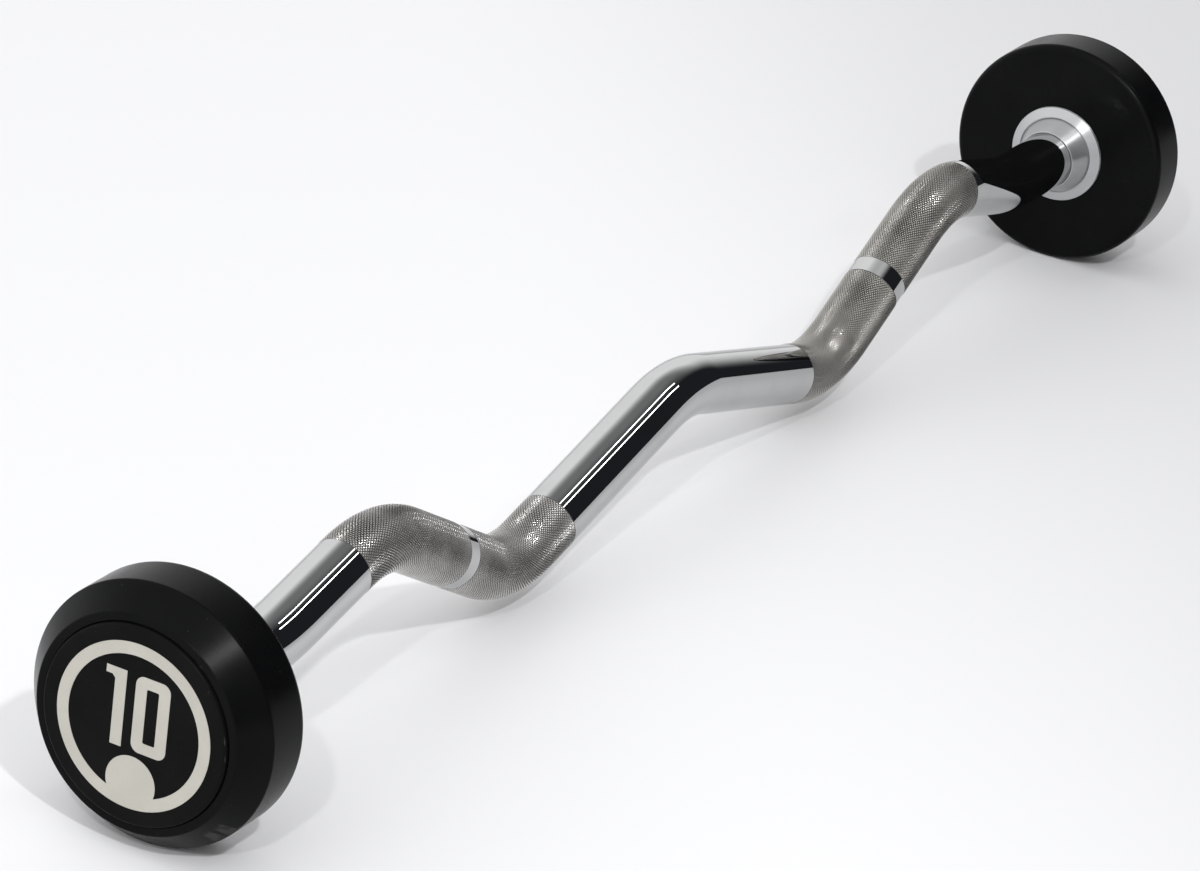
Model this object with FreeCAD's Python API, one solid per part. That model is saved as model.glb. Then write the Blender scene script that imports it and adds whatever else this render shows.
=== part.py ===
"""Fixed-weight curl barbell: a bent steel bar with a rubber-covered head bolted on each end.

Units are millimetres. X runs along the bar, from the left head to the right head, and Z is up.
The origin lies on the floor, under the middle of the bar. The heads stand on the floor and the
bends of the bar lie in the upright XZ plane, with the two valleys of the grips down.
"""

import FreeCAD
import Part
import math
import os

from FreeCAD import Placement, Rotation, Vector

# Bar
bar_diameter = 30.0

# Bends: each corner's distance along the bar from the one before, from the crown in the middle out,
# its height above or drop below the head axis, and its bend radius
crown_rise = 1.4
crown_radius = 49.0
crown_to_valley = 158.0
valley_drop = 41.4
valley_radius = 68.0
valley_to_shoulder = 117.5
shoulder_rise = 22.7
shoulder_radius = 69.0
shoulder_to_outer_bend = 88.5
outer_bend_radius = 42.0
outer_bend_to_collar = 49.5

# Knurled grips, each parted by one smooth band
knurl_past_valley = 38.0
knurl_past_shoulder = 25.5
valley_to_band = 55.0
band_width = 8.0
knurl_rise = 0.2

# Turned ends of the bar
spigot_step = 3.0
spigot_chamfer = 1.0
bar_shoulder_chamfer = 0.6
clamp_gap = 1.0
tap_runout = 3.5
drill_point_angle = 118.0

# Rubber cover of a head
head_diameter = 120.0
head_thickness = 39.5
bevel_depth = 12.8
bevel_drop = 10.2
land_depth = 1.8
land_width = 4.0
recess_rounding = 0.6
lip_rounding = 1.2
bevel_rounding = 1.6
back_rounding = 3.6
front_wall = 1.5
rim_wall = 3.0
back_wall = 2.5
bevel_wall = 3.0

# Steel core of a head
core_rounding = 2.0
washer_room = 1.0
bore_chamfer = 0.8

# End cap
cap_thickness = 4.5
cap_rounding = 1.4
cap_clearance = 0.2
plug_depth = 4.0
plug_wall = 2.0
plug_rounding = 0.6

# Inner collar
pilot_seat_width = 7.9
collar_lip = 4.0
collar_height = 14.0
cone_end_wall = 1.2
cone_flare = 4.0
groove_width = 0.7
groove_depth = 0.8
flange_width = 5.0
flange_edge = 1.6
flange_height = 3.4
flange_rounding = 0.4
collar_end_rounding = 0.5

# End bolt and washers
bolt_diameter = 10.0
bolt_length = 30.0
bolt_head_overhang = 3.0
bolt_head_height = 6.4
bolt_head_chamfer = 0.8
bolt_tip_chamfer = 1.0
bolt_head_room = 2.0
washer_clearance = 0.25
washer_width = 9.75
washer_thickness = 2.5
washer_rounding = 0.4
lock_washer_clearance = 0.1
lock_washer_width = 3.95
lock_washer_thickness = 2.2
lock_washer_gap = 1.4
lock_washer_slant = 20.0

# Drive key
key_width = 8.0
key_height = 7.0
key_seat_depth = 4.0
key_margin = 2.0
key_chamfer = 0.4

# Fits
slide_clearance = 0.1
thread_clearance = 0.05
cut_overrun = 5.0

# Radii
bar_radius = bar_diameter / 2
knurl_radius = bar_radius + knurl_rise
spigot_radius = bar_radius - spigot_step
hub_bore_radius = spigot_radius + slide_clearance
head_radius = head_diameter / 2
lip_radius = head_radius - bevel_drop
recess_radius = lip_radius - land_width
cap_radius = recess_radius - cap_clearance
pilot_radius = hub_bore_radius + pilot_seat_width
collar_opening_radius = pilot_radius + slide_clearance
collar_bore_radius = bar_radius + slide_clearance
cone_end_radius = collar_bore_radius + cone_end_wall
cone_base_radius = cone_end_radius + cone_flare
groove_radius = cone_base_radius + groove_width
flange_radius = groove_radius + flange_width
bolt_radius = bolt_diameter / 2
tapped_radius = bolt_radius + thread_clearance
washer_bore_radius = bolt_radius + washer_clearance
washer_radius = washer_bore_radius + washer_width
lock_washer_bore_radius = bolt_radius + lock_washer_clearance
lock_washer_radius = lock_washer_bore_radius + lock_washer_width
well_radius = washer_radius + washer_room
plug_radius = well_radius - slide_clearance

# Places along a head, counted inwards from the outer face of its end cap
core_front = cap_thickness + front_wall
core_back = head_thickness - back_wall
bolt_head_front = cap_thickness + bolt_head_room
bolt_seat = bolt_head_front + bolt_head_height
bolt_tip = bolt_seat + bolt_length
washer_front = bolt_seat + lock_washer_thickness
washer_seat = washer_front + washer_thickness
spigot_end = washer_seat + clamp_gap
bar_shoulder = core_back + collar_lip
collar_end = head_thickness + collar_height

# Places of the bar's corners, counted from its middle
valley_reach = crown_to_valley
shoulder_reach = valley_reach + valley_to_shoulder
outer_bend_reach = shoulder_reach + shoulder_to_outer_bend
rod_reach = outer_bend_reach + outer_bend_to_collar
overall_length = 2 * (rod_reach + collar_end)

# The core's bevel runs parallel to the cover's
bevel_slope = bevel_drop / bevel_depth
core_bevel_drop = bevel_wall * math.hypot(1, bevel_slope)
core_radius = head_radius - rim_wall
core_lip_radius = lip_radius + (core_front - land_depth) * bevel_slope - core_bevel_drop
core_bevel_end = land_depth + (core_radius - lip_radius + core_bevel_drop) / bevel_slope


def rounded_corner(before, corner, after, radius):
    """The arc that rounds a corner, as its first, middle and last point."""
    into = (corner - before).normalize()
    out = (after - corner).normalize()
    half_turn = into.getAngle(out) / 2
    reach = radius * math.tan(half_turn)
    inwards = (out - into).normalize()
    middle = corner + inwards * (radius / math.cos(half_turn) - radius)
    return corner - into * reach, middle, corner + out * reach


def rounded_edges(corners, closed):
    """Straight runs through corners of (point, radius), joined by tangent arcs."""
    count = len(corners)
    bends = []
    for place, (corner, radius) in enumerate(corners):
        at_end = not closed and place in (0, count - 1)
        if at_end or radius == 0:
            bends.append((corner, corner, corner))
            continue
        before = corners[place - 1][0]
        after = corners[(place + 1) % count][0]
        bends.append(rounded_corner(before, corner, after, radius))
    edges = []
    for place, (first, middle, last) in enumerate(bends):
        if first != last:
            edges.append(Part.Arc(first, middle, last).toShape())
        if closed or place < count - 1:
            edges.append(Part.makeLine(last, bends[(place + 1) % count][0]))
    return edges


def turned(outline):
    """A solid turned about the X axis, from corners of (along, radius, rounding)."""
    corners = [(Vector(along, 0, radius), rounding) for along, radius, rounding in outline]
    face = Part.Face(Part.Wire(rounded_edges(corners, closed=True)))
    return face.revolve(Vector(0, 0, 0), Vector(1, 0, 0), 360)


def ring(front, back, inner_radius, outer_radius, rounding):
    """A flat ring on the X axis with rounded outer edges."""
    return turned([
        (front, inner_radius, 0),
        (front, outer_radius, rounding),
        (back, outer_radius, rounding),
        (back, inner_radius, 0),
    ])


def on_side(shape, side):
    """Puts a shape made for the left end of the bar, with its axis on X, on the named end."""
    reach = overall_length / 2
    if side == "left":
        place = Placement(Vector(-reach, 0, head_radius), Rotation())
    else:
        place = Placement(Vector(reach, 0, head_radius), Rotation(Vector(0, 0, 1), 180))
    placed = shape.copy()
    placed.Placement = place
    return placed


def bar_path():
    """The centre line of the bar between the collars, as lines and arcs from left to right."""
    right_half = [
        (valley_reach, -valley_drop, valley_radius),
        (shoulder_reach, shoulder_rise, shoulder_radius),
        (outer_bend_reach, 0, outer_bend_radius),
        (rod_reach, 0, 0),
    ]
    left_half = [(-reach, height, radius) for reach, height, radius in reversed(right_half)]
    places = left_half + [(0, crown_rise, crown_radius)] + right_half
    corners = [(Vector(reach, 0, head_radius + height), radius) for reach, height, radius in places]
    return rounded_edges(corners, closed=False)


def is_straight(edge):
    return edge.Curve.TypeId == "Part::GeomLine"


def point_at(edge, station):
    """The point of one line or arc of the bar's path at a distance along X from the middle."""
    first = edge.valueAt(edge.FirstParameter)
    last = edge.valueAt(edge.LastParameter)
    if is_straight(edge):
        return first + (last - first) * ((station - first.x) / (last.x - first.x))
    centre = edge.Curve.Center
    middle = edge.valueAt((edge.FirstParameter + edge.LastParameter) / 2)
    height = math.sqrt(edge.Curve.Radius**2 - (station - centre.x)**2)
    return Vector(station, 0, centre.z + math.copysign(height, middle.z - centre.z))


def rod(path, start, end, radius):
    """A round rod along the path from one station to another."""
    edges = []
    for edge in path:
        low = max(start, edge.valueAt(edge.FirstParameter).x)
        high = min(end, edge.valueAt(edge.LastParameter).x)
        if low >= high:
            continue
        first = point_at(edge, low)
        last = point_at(edge, high)
        if is_straight(edge):
            edges.append(Part.makeLine(first, last))
        else:
            edges.append(Part.Arc(first, point_at(edge, (low + high) / 2), last).toShape())
    first_edge = edges[0]
    centre = first_edge.valueAt(first_edge.FirstParameter)
    direction = first_edge.tangentAt(first_edge.FirstParameter)
    section = Part.Wire(Part.makeCircle(radius, centre, direction))
    return Part.Wire(edges).makePipeShell([section], True, False)


def bar_end():
    """The bar inside one head: full size in the collar, then the spigot that carries the core."""
    return turned([
        (spigot_end, 0, 0),
        (spigot_end, spigot_radius - spigot_chamfer, 0),
        (spigot_end + spigot_chamfer, spigot_radius, 0),
        (bar_shoulder, spigot_radius, 0),
        (bar_shoulder, bar_radius - bar_shoulder_chamfer, 0),
        (bar_shoulder + bar_shoulder_chamfer, bar_radius, 0),
        (collar_end, bar_radius, 0),
        (collar_end, 0, 0),
    ])


def tapped_hole():
    """The cut for the bolt's hole in one end of the bar, with its drill point."""
    mouth = spigot_end - cut_overrun
    bottom = bolt_tip + tap_runout
    drill_point = tapped_radius / math.tan(math.radians(drill_point_angle / 2))
    return turned([
        (mouth, 0, 0),
        (mouth, tapped_radius, 0),
        (bottom, tapped_radius, 0),
        (bottom + drill_point, 0, 0),
    ])


def key_block(front, back, height, width):
    """A block over the floor of the key seat, from one place along the head to another."""
    floor = spigot_radius - key_seat_depth
    return Part.makeBox(back - front, width, height, Vector(front, -width / 2, floor))


def key_seat():
    """The cut for the key, open at the end of the spigot."""
    back = core_back - key_margin
    return key_block(spigot_end - cut_overrun, back, key_seat_depth + cut_overrun, key_width)


def bar():
    """The one-piece bar: bent rod, raised knurled grips, spigots, bolt holes and key seats."""
    path = bar_path()
    band_reach = valley_reach + valley_to_band
    grips = [
        (valley_reach - knurl_past_valley, band_reach - band_width / 2),
        (band_reach + band_width / 2, shoulder_reach + knurl_past_shoulder),
    ]
    added = []
    for inner, outer in grips:
        added.append(rod(path, inner, outer, knurl_radius))
        added.append(rod(path, -outer, -inner, knurl_radius))
    cuts = []
    for side in ("left", "right"):
        added.append(on_side(bar_end(), side))
        cuts.append(on_side(tapped_hole(), side))
        cuts.append(on_side(key_seat(), side))
    body = rod(path, -rod_reach, rod_reach, bar_radius).fuse(added).removeSplitter()
    return body.cut(cuts)


def core_skin():
    """The faces of the core that the rubber is moulded on, from the front well round to the back."""
    return [
        (core_front, well_radius, 0),
        (core_front, core_lip_radius, core_rounding),
        (core_bevel_end, core_radius, core_rounding),
        (core_back, core_radius, core_rounding),
    ]


def weight_core():
    """The steel weight: a bevelled disc with a keyed hub bore and a well for the bolt."""
    disc = turned(core_skin() + [
        (core_back, hub_bore_radius + bore_chamfer, 0),
        (core_back - bore_chamfer, hub_bore_radius, 0),
        (washer_seat, hub_bore_radius, 0),
        (washer_seat, well_radius, 0),
    ])
    keyway = key_block(
        washer_seat - cut_overrun,
        core_back + cut_overrun,
        key_height + slide_clearance,
        key_width + 2 * slide_clearance,
    )
    return disc.cut(keyway)


def rubber_cover():
    """The rubber moulded round the core, with the cap's recess in front and a bevelled rim."""
    outside = [
        (cap_thickness, well_radius, 0),
        (cap_thickness, recess_radius, 0),
        (land_depth, recess_radius, recess_rounding),
        (land_depth, lip_radius, lip_rounding),
        (land_depth + bevel_depth, head_radius, bevel_rounding),
        (head_thickness, head_radius, back_rounding),
        (head_thickness, collar_opening_radius, 0),
        (core_back, collar_opening_radius, 0),
    ]
    return turned(outside + core_skin()[::-1])


def end_cap():
    """The disc that closes the head, with a ring at its back that plugs into the core's well."""
    plug_end = cap_thickness + plug_depth
    return turned([
        (0, 0, 0),
        (0, cap_radius, cap_rounding),
        (cap_thickness, cap_radius, 0),
        (cap_thickness, plug_radius, 0),
        (plug_end, plug_radius, plug_rounding),
        (plug_end, plug_radius - plug_wall, 0),
        (cap_thickness, plug_radius - plug_wall, 0),
        (cap_thickness, 0, 0),
    ])


def inner_collar():
    """The turned collar: a lip clamped between bar and core, a flange over the rubber and a cone."""
    flange_top = head_thickness + flange_height
    groove_floor = flange_top - groove_depth
    return turned([
        (core_back, hub_bore_radius, 0),
        (core_back, pilot_radius, 0),
        (head_thickness, pilot_radius, 0),
        (head_thickness, flange_radius, 0),
        (head_thickness + flange_edge, flange_radius, flange_rounding),
        (flange_top, groove_radius, 0),
        (groove_floor, groove_radius, 0),
        (groove_floor, cone_base_radius, 0),
        (collar_end, cone_end_radius, collar_end_rounding),
        (collar_end, collar_bore_radius + bore_chamfer, 0),
        (collar_end - bore_chamfer, collar_bore_radius, 0),
        (bar_shoulder, collar_bore_radius, 0),
        (bar_shoulder, hub_bore_radius, 0),
    ])


def drive_key():
    """The square-ended key that stops the head from turning on the bar."""
    key = key_block(spigot_end, core_back - key_margin, key_height, key_width)
    return key.makeChamfer(key_chamfer, key.Edges)


def clamp_washer():
    """The wide washer that bears on the floor of the core's well."""
    return ring(washer_front, washer_seat, washer_bore_radius, washer_radius, washer_rounding)


def lock_washer():
    """The split spring washer under the bolt's head, pressed flat."""
    whole = ring(bolt_seat, washer_front, lock_washer_bore_radius, lock_washer_radius, 0)
    slit_length = lock_washer_thickness + 2 * cut_overrun
    slit = Part.makeBox(
        slit_length,
        lock_washer_gap,
        lock_washer_radius + cut_overrun,
        Vector(-slit_length / 2, -lock_washer_gap / 2, 0),
    )
    slit.Placement = Placement(
        Vector(bolt_seat + lock_washer_thickness / 2, 0, 0),
        Rotation(Vector(0, 0, 1), lock_washer_slant),
    )
    return whole.cut(slit)


def end_bolt():
    """The hexagon bolt that pulls the bar's shoulder, collar, core and washers together."""
    flat_radius = bolt_radius + bolt_head_overhang
    corner_radius = flat_radius / math.cos(math.pi / 6)
    corners = []
    for turn in range(7):
        angle = turn * math.pi / 3
        y = corner_radius * math.cos(angle)
        z = corner_radius * math.sin(angle)
        corners.append(Vector(bolt_head_front, y, z))
    hexagon = Part.Face(Part.makePolygon(corners)).extrude(Vector(bolt_head_height, 0, 0))
    crown_slope = bolt_head_chamfer / (corner_radius - flat_radius)
    crown_radius_end = corner_radius + cut_overrun
    crown = turned([
        (bolt_head_front, 0, 0),
        (bolt_head_front, flat_radius, 0),
        (bolt_head_front + crown_slope * (crown_radius_end - flat_radius), crown_radius_end, 0),
        (bolt_seat + cut_overrun, crown_radius_end, 0),
        (bolt_seat + cut_overrun, 0, 0),
    ])
    shank = turned([
        (bolt_head_front + bolt_head_chamfer, 0, 0),
        (bolt_head_front + bolt_head_chamfer, bolt_radius, 0),
        (bolt_tip - bolt_tip_chamfer, bolt_radius, 0),
        (bolt_tip, bolt_radius - bolt_tip_chamfer, 0),
        (bolt_tip, 0, 0),
    ])
    return hexagon.common(crown).fuse(shank).removeSplitter()


head_pieces = {
    "inner_collar": inner_collar,
    "weight_core": weight_core,
    "rubber_cover": rubber_cover,
    "end_cap": end_cap,
    "drive_key": drive_key,
    "clamp_washer": clamp_washer,
    "lock_washer": lock_washer,
    "end_bolt": end_bolt,
}


def write(name, shape):
    """Writes one piece, which has to be one closed solid."""
    if len(shape.Solids) != 1 or not shape.isValid():
        raise ValueError(f"{name} is not one valid solid")
    shape.Solids[0].exportStep(f"parts/{name}.step")


def main():
    os.makedirs("parts", exist_ok=True)
    write("bar", bar())
    for side in ("left", "right"):
        for name, make in head_pieces.items():
            write(f"{side}_{name}", on_side(make(), side))


main()
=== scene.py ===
"""Looks of a fixed-weight curl barbell: its visible pieces, their finishes and a plain studio stage.

Units are metres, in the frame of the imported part: X along the bar, Z up, origin on the floor.
"""

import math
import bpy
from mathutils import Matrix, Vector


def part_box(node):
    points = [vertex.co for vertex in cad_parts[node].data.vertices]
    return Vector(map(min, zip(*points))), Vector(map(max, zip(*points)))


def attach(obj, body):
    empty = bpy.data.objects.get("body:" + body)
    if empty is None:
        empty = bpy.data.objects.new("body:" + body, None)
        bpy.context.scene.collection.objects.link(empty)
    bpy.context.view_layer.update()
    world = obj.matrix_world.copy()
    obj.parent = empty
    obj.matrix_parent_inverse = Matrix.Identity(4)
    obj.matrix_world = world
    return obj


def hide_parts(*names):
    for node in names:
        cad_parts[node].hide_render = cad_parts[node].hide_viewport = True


bl_info = {
    "name": "Curl Barbell",
    "version": (1, 0, 0),
    "blender": (4, 5, 0),
    "location": "View3D > Sidebar > Curl Barbell",
    "description": "Builds the visible pieces, the finishes and the stage of a fixed-weight curl barbell",
    "category": "Add Mesh",
}

import bmesh
import bpy
from bpy.props import FloatProperty, FloatVectorProperty, PointerProperty
from mathutils import Matrix, Vector

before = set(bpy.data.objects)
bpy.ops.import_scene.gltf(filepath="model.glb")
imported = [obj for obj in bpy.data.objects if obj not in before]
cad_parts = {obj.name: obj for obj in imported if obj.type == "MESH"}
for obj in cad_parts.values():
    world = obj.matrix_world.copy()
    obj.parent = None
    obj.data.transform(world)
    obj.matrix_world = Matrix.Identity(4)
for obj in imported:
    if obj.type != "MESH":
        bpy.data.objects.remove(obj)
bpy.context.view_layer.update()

# Which way each end of the bar points along X
SIDES = {"left": -1, "right": 1}

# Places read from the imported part. Those along the bar are counted in from the left cap's face.
COVER_LOW, COVER_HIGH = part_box("left_rubber_cover")
CAP_LOW, CAP_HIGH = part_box("left_end_cap")
COLLAR_LOW, COLLAR_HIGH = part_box("left_inner_collar")
CORE_LOW, CORE_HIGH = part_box("left_weight_core")
BOLT_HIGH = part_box("left_end_bolt")[1]
BAR_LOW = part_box("bar")[0]
REACH = -CAP_LOW.x
AXIS_HEIGHT = (COVER_LOW.z + COVER_HIGH.z) / 2
HEAD_RADIUS = (COVER_HIGH.z - COVER_LOW.z) / 2
HEAD_THICKNESS = COVER_HIGH.x + REACH
CAP_RADIUS = (CAP_HIGH.z - CAP_LOW.z) / 2
FLANGE_RADIUS = (COLLAR_HIGH.z - COLLAR_LOW.z) / 2
COLLAR_END = COLLAR_HIGH.x + REACH
CORE_FRONT = CORE_LOW.x + REACH
CORE_BACK = CORE_HIGH.x + REACH
CORE_RADIUS = (CORE_HIGH.z - CORE_LOW.z) / 2
SPIGOT_END = BAR_LOW.x + REACH
BOLT_TIP = BOLT_HIGH.x + REACH

# Fineness of the meshes
ARC_STEP = math.radians(7.5)
BEND_STEP = math.radians(1.5)
PRINT_STEP = math.radians(2)
HEAD_SIDES = 192
COLLAR_SIDES = 160
BAR_SIDES = 144
SHARP_ANGLE = math.radians(35)
LONG_STRETCH = 0.003
EDGE_MARGIN = 0.0006
SMALLEST_STEP = 1e-6
SEARCH_STEPS = 48
UV_MAP = "OFBake"

# Room between a knurled sleeve and the bar under it, and the slope that a drill leaves in its hole
NECK_CLEARANCE = 0.00005
DRILL_SLOPE = math.radians(30)

# A diamond of the knurl: its grid steps, and its height at each step in from the groove
KNURL_STEPS = 4
KNURL_LIFTS = (0.0, 0.90, 1.0)

# How much darker or lighter the second tint of a finish is
SMUDGE_SHADE = 0.93
LATHE_SHADE = 0.82
RUBBER_SHADE = 1.5
INK_SHADE = 0.93
STEEL_SHADE = 0.72
WORN_STEEL_SHADE = 1.5

# How strongly the marks of use show
SCUFF_SHARE = 0.35
RUBBER_SPECK_SHARE = 0.2
INK_SPECK_SHARE = 0.35

# How scratches stretch along the bar, and how fast lathe rings pass along a cone
SCRATCH_STRETCH = (0.06, 1.0, 1.0)
RING_SLANT = 0.7

# Sockets of a Mix node that mixes colours
MIX_SHARE = 0
MIX_FIRST = 6
MIX_SECOND = 7
MIX_RESULT = 2


def length(name, description, default):
    """A length that a user may change."""
    return FloatProperty(
        name=name, description=description, default=default, min=0, precision=5, unit="LENGTH"
    )


def wattage(name, description, default):
    """The power of a lamp in watts, which a user may change."""
    return FloatProperty(name=name, description=description, default=default, min=0, unit="POWER")


def colour(name, description, default):
    """A colour that a user may change."""
    return FloatVectorProperty(
        name=name, description=description, default=default, min=0, max=1, size=3, subtype="COLOR"
    )


class BarSizes(bpy.types.PropertyGroup):
    """Sizes of the bent bar and its knurled grips"""

    diameter: length("Diameter", "Diameter of the smooth bar", 0.030)
    crown_rise: length("Crown rise", "Height of the middle corner above the head axis", 0.0022)
    crown_bend: length("Crown bend", "Bend radius at the middle", 0.075)
    crown_to_valley: length("Crown to valley", "From the middle to the valley corner", 0.158)
    valley_drop: length("Valley drop", "Depth of the valley corner below the head axis", 0.0414)
    valley_bend: length("Valley bend", "Bend radius of the valley", 0.068)
    valley_to_shoulder: length("Valley to shoulder", "From the valley to the shoulder corner", 0.1175)
    shoulder_rise: length("Shoulder rise", "Height of the shoulder corner above the axis", 0.0227)
    shoulder_bend: length("Shoulder bend", "Bend radius of the shoulder", 0.069)
    shoulder_to_outer: length("Shoulder to outer bend", "From the shoulder to the last corner", 0.0885)
    outer_bend: length("Outer bend", "Bend radius of the last corner", 0.150)
    left_grip_outer: length("Left grip outside", "Outer end of the left knurl, from the middle", 0.3053)
    left_grip_inner: length("Left grip inside", "Inner end of the left knurl, from the middle", 0.1154)
    left_band: length("Left band", "Middle of the left grip's smooth band", 0.2118)
    right_grip_outer: length("Right grip outside", "Outer end of the right knurl, from the middle", 0.294)
    right_grip_inner: length("Right grip inside", "Inner end of the right knurl, from the middle", 0.1236)
    right_band: length("Right band", "Middle of the right grip's smooth band", 0.2140)
    band_width: length("Band width", "Width of the smooth band in a grip", 0.008)
    knurl_rise: length("Knurl rise", "Height of the knurl's points above the bar", 0.0002)
    knurl_depth: length("Knurl depth", "Depth of the knurl's grooves", 0.00036)
    knurl_width: length("Diamond width", "Width of one diamond round the bar", 0.0015)
    knurl_length: length("Diamond length", "Length of one diamond along the bar", 0.0020)
    neck_depth: length("Neck depth", "How far the bar is reduced under the knurl", 0.0005)
    spigot_radius: length("Spigot radius", "Radius of the turned end in the core", 0.012)
    spigot_chamfer: length("Spigot chamfer", "Chamfer of the turned end", 0.001)
    seat_place: length("Seat place", "Where the bar seats on the collar, from the cap", 0.041)
    seat_chamfer: length("Seat chamfer", "Chamfer of the bar at its seat", 0.0006)
    hole_radius: length("Hole radius", "Radius of the tapped hole", 0.00505)
    hole_runout: length("Hole run-out", "Depth of the hole past the bolt", 0.0035)


class HeadSizes(bpy.types.PropertyGroup):
    """Sizes of the rubber cover and the end cap"""

    bevel_depth: length("Bevel depth", "Depth of the bevel along the bar", 0.0128)
    bevel_drop: length("Bevel drop", "Drop of the bevel towards the axis", 0.0102)
    land_depth: length("Land depth", "Step from the cap's face back to the cover's lip", 0.0018)
    land_width: length("Land width", "Width of the cover's lip", 0.004)
    lip_rounding: length("Lip rounding", "Rounding of the lip's outer edge", 0.0012)
    recess_rounding: length("Recess rounding", "Rounding of the lip's inner edge", 0.0006)
    bevel_rounding: length("Bevel rounding", "Rounding between bevel and rim", 0.0016)
    back_rounding: length("Back rounding", "Rounding between rim and back", 0.0036)
    bevel_wall: length("Bevel wall", "Thickness of the rubber under the bevel", 0.003)
    core_rounding: length("Core rounding", "Rounding of the core's edges", 0.002)
    well_radius: length("Well radius", "Radius of the core's bolt well", 0.016)
    opening_radius: length("Opening radius", "Radius of the hole for the collar", 0.0201)
    cap_thickness: length("Cap thickness", "Thickness of the end cap", 0.0045)
    cap_rounding: length("Cap rounding", "Rounding of the cap's edge", 0.0014)
    plug_radius: length("Plug radius", "Radius of the cap's plug", 0.0159)
    plug_wall: length("Plug wall", "Wall of the cap's plug", 0.002)
    plug_rounding: length("Plug rounding", "Rounding of the plug's edge", 0.0006)


class CollarSizes(bpy.types.PropertyGroup):
    """Sizes of the turned collar"""

    pilot_radius: length("Pilot radius", "Radius of the part that sits in the rubber", 0.020)
    hub_bore: length("Hub bore", "Radius of the bore round the spigot", 0.0121)
    bar_bore: length("Bar bore", "Radius of the bore round the bar", 0.0151)
    cone_end_wall: length("Cone end wall", "Wall of the cone at its end", 0.0007)
    cone_flare: length("Cone flare", "How much wider the cone is at its base", 0.0045)
    groove_width: length("Groove width", "Width of the groove round the cone", 0.0007)
    groove_depth: length("Groove depth", "Depth of the groove round the cone", 0.0016)
    flange_edge: length("Flange edge", "Height of the flange's edge", 0.0016)
    flange_height: length("Flange height", "Height of the flange at the groove", 0.0034)
    flange_rounding: length("Flange rounding", "Rounding of the flange", 0.0004)
    end_rounding: length("End rounding", "Rounding of the cone's end", 0.0003)
    bore_chamfer: length("Bore chamfer", "Chamfer of the bore", 0.0003)


class PrintSizes(bpy.types.PropertyGroup):
    """Sizes of the light ring, number and plain disc on the cap"""

    thickness: length("Thickness", "Thickness of the ink", 0.00012)
    ring_outer: length("Ring outside", "Outer radius of the ring", 0.0381)
    ring_inner: length("Ring inside", "Inner radius of the ring", 0.0324)
    disc_radius: length("Disc radius", "Radius of the plain disc", 0.0123)
    disc_drop: length("Disc drop", "Place of the plain disc below the middle", 0.0261)
    disc_shift: length("Disc shift", "Place of the plain disc to the right of the middle", 0.0011)
    stroke: length("Stroke", "Width of the numerals' upright strokes", 0.0056)
    level_stroke: length("Level stroke", "Height of the 0's level strokes", 0.0051)
    number_top: length("Number top", "Top of the number above the middle", 0.0242)
    number_bottom: length("Number bottom", "Bottom of the number below the middle", 0.0112)
    one_left: length("One's place", "Left edge of the 1's stem, left of the middle", 0.0108)
    flag_reach: length("Flag", "How far the 1's flag stands out", 0.0046)
    flag_height: length("Flag height", "Thickness of the 1's flag", 0.0036)
    flag_notch: length("Flag notch", "Slanted corner between the flag and the stem", 0.0046 / 3)
    zero_left: length("Zero's place", "Left edge of the 0, left of the middle", 0.0005)
    zero_width: length("Zero's width", "Width of the 0", 0.0172)
    zero_corner: length("Zero's corner", "Corner radius of the 0", 0.0042)
    counter_corner: length("Counter's corner", "Corner radius inside the 0", 0.0008)


class FinishColours(bpy.types.PropertyGroup):
    """Colours of the finishes"""

    chrome: colour("Chrome", "Reflection of the chrome", (0.54, 0.545, 0.545))
    chrome_edge: colour("Chrome edge", "Reflection of the chrome at a low angle", (0.8, 0.8, 0.8))
    bright_peak: colour("Bright points", "Points of the left grip's knurl", (0.71, 0.703, 0.688))
    bright_groove: colour("Bright grooves", "Grooves of the left grip's knurl", (0.093, 0.088, 0.079))
    # The right grip's knurl colours are darker than the left's: browner soil, and painted shade for the
    # light that falls off towards the right end
    shaded_soiled_peak: colour("Soiled and shaded points", "Points of the right grip's knurl", (0.60, 0.587, 0.56))
    shaded_soiled_groove: colour("Soiled and shaded grooves", "Grooves of the right grip's knurl", (0.074, 0.069, 0.060))
    aluminium: colour("Aluminium", "Reflection of the turned collar", (0.66, 0.665, 0.68))
    rubber: colour("Cover rubber", "Colour of the moulded rubber", (0.0026, 0.0027, 0.0029))
    cap: colour("Cap rubber", "Colour of the cap", (0.0038, 0.0040, 0.0038))
    dust: colour("Dust", "Colour of dust and scuffs on rubber", (0.085, 0.083, 0.078))
    ink: colour("Ink", "Colour of the ring and number", (0.46, 0.445, 0.40))
    core: colour("Core", "Colour of the cast core", (0.19, 0.185, 0.18))
    zinc: colour("Zinc", "Colour of the zinc-plated bolt", (0.66, 0.66, 0.62))
    spring: colour("Spring steel", "Colour of the spring washer", (0.10, 0.098, 0.095))
    key: colour("Key steel", "Colour of the drawn key", (0.42, 0.42, 0.43))


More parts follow.
